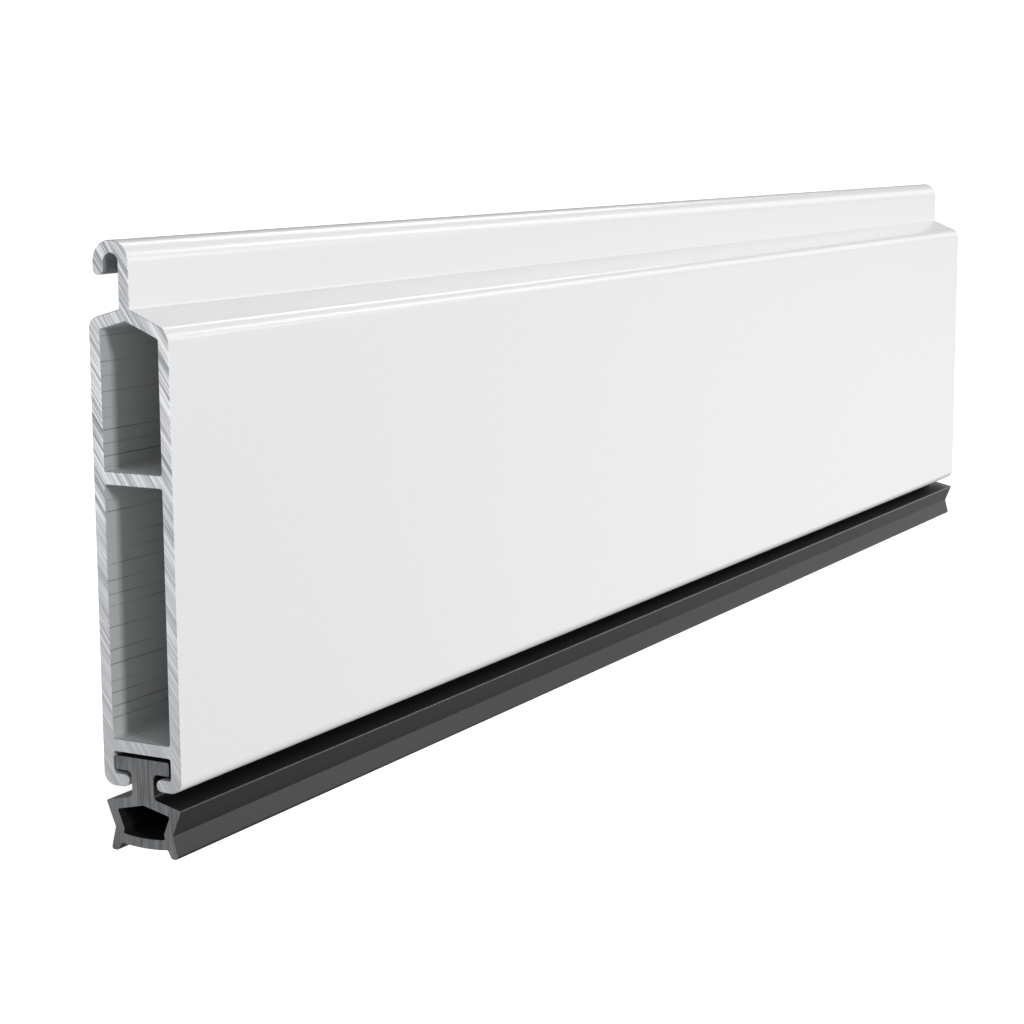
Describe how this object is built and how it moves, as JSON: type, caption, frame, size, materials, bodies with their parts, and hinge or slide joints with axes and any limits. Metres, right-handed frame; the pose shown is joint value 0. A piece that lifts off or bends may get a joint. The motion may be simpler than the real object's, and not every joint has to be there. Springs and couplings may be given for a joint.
{
  "type": "roller shutter end slat",
  "caption": "Extruded hollow end slat for a roller shutter, with a hook along its top edge and a rubber seal in the groove along its bottom edge.",
  "frame": {"origin": "centre of the length, middle of the height over hook and seal, on the plane of the back face that the slat lies on", "axes": "+X along the slat's length, +Y up the slat towards its hook (the seal is at -Y), +Z out of the coated front face"},
  "size_m": [0.2, 0.0512, 0.008],
  "materials": {
    "coated_aluminium": "satin white powder coat outside, bare sawn ends, mill finish inside the chambers",
    "seal_rubber": "matte"
  },
  "bodies": {
    "root": {"slat_profile": "coated_aluminium", "bottom_seal": "seal_rubber"}
  },
  "joints": []
}
